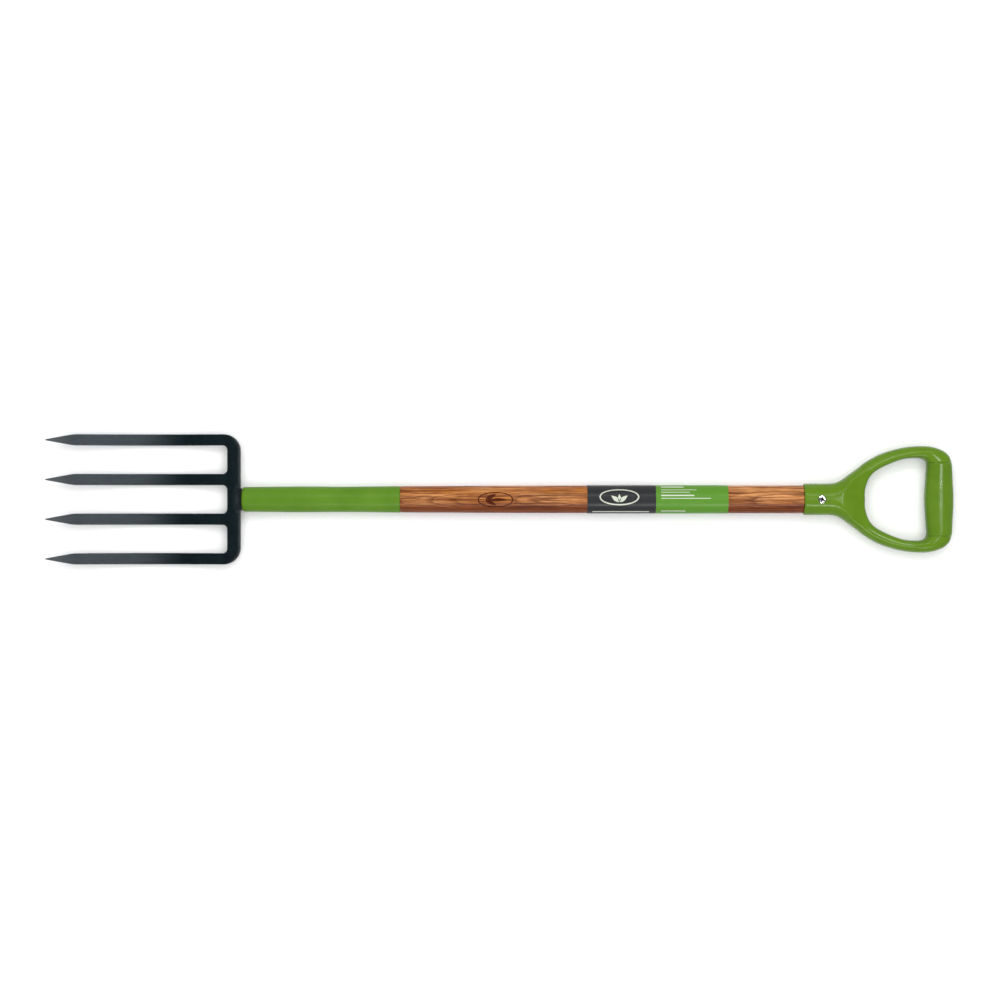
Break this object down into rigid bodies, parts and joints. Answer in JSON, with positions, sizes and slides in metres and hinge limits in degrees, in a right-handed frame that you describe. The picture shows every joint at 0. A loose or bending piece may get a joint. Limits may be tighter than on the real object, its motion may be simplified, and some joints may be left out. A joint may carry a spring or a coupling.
{
  "type": "digging fork",
  "caption": "Short garden digging fork: forged steel head with flat dished tines, steel ferrule, turned wooden shaft and a moulded D-shaped hand grip.",
  "frame": {"origin": "under the middle of the fork, on the surface that it lies on with its front face up", "axes": "+X along the shaft towards the hand grip, +Y across the tines, +Z out of the front face"},
  "size_m": [1.1, 0.158, 0.038],
  "materials": {
    "forged_steel": "blue-black lacquer over forged steel, satin, worn lighter towards the points",
    "green_powder_coat": "semi-gloss green powder coat",
    "zinc_plate": "bright zinc plate",
    "lacquered_wood": "clear-lacquered orange-brown hardwood",
    "printed_film": "printed film wrap, charcoal and green halves",
    "green_plastic": "glossy moulded green polypropylene",
    "green_soft_plastic": "soft-touch green overmould, satin",
    "nickel_plate": "bright plated rivet"
  },
  "bodies": {
    "root": {"fork_head": "forged_steel", "ferrule": "green_powder_coat", "ferrule_nail": "zinc_plate", "wood_shaft": "lacquered_wood", "wrap_label": "printed_film", "d_grip_frame": "green_plastic", "grip_sleeve": "green_soft_plastic", "grip_rivet": "nickel_plate", "rivet_washer": "zinc_plate"}
  },
  "joints": []
}
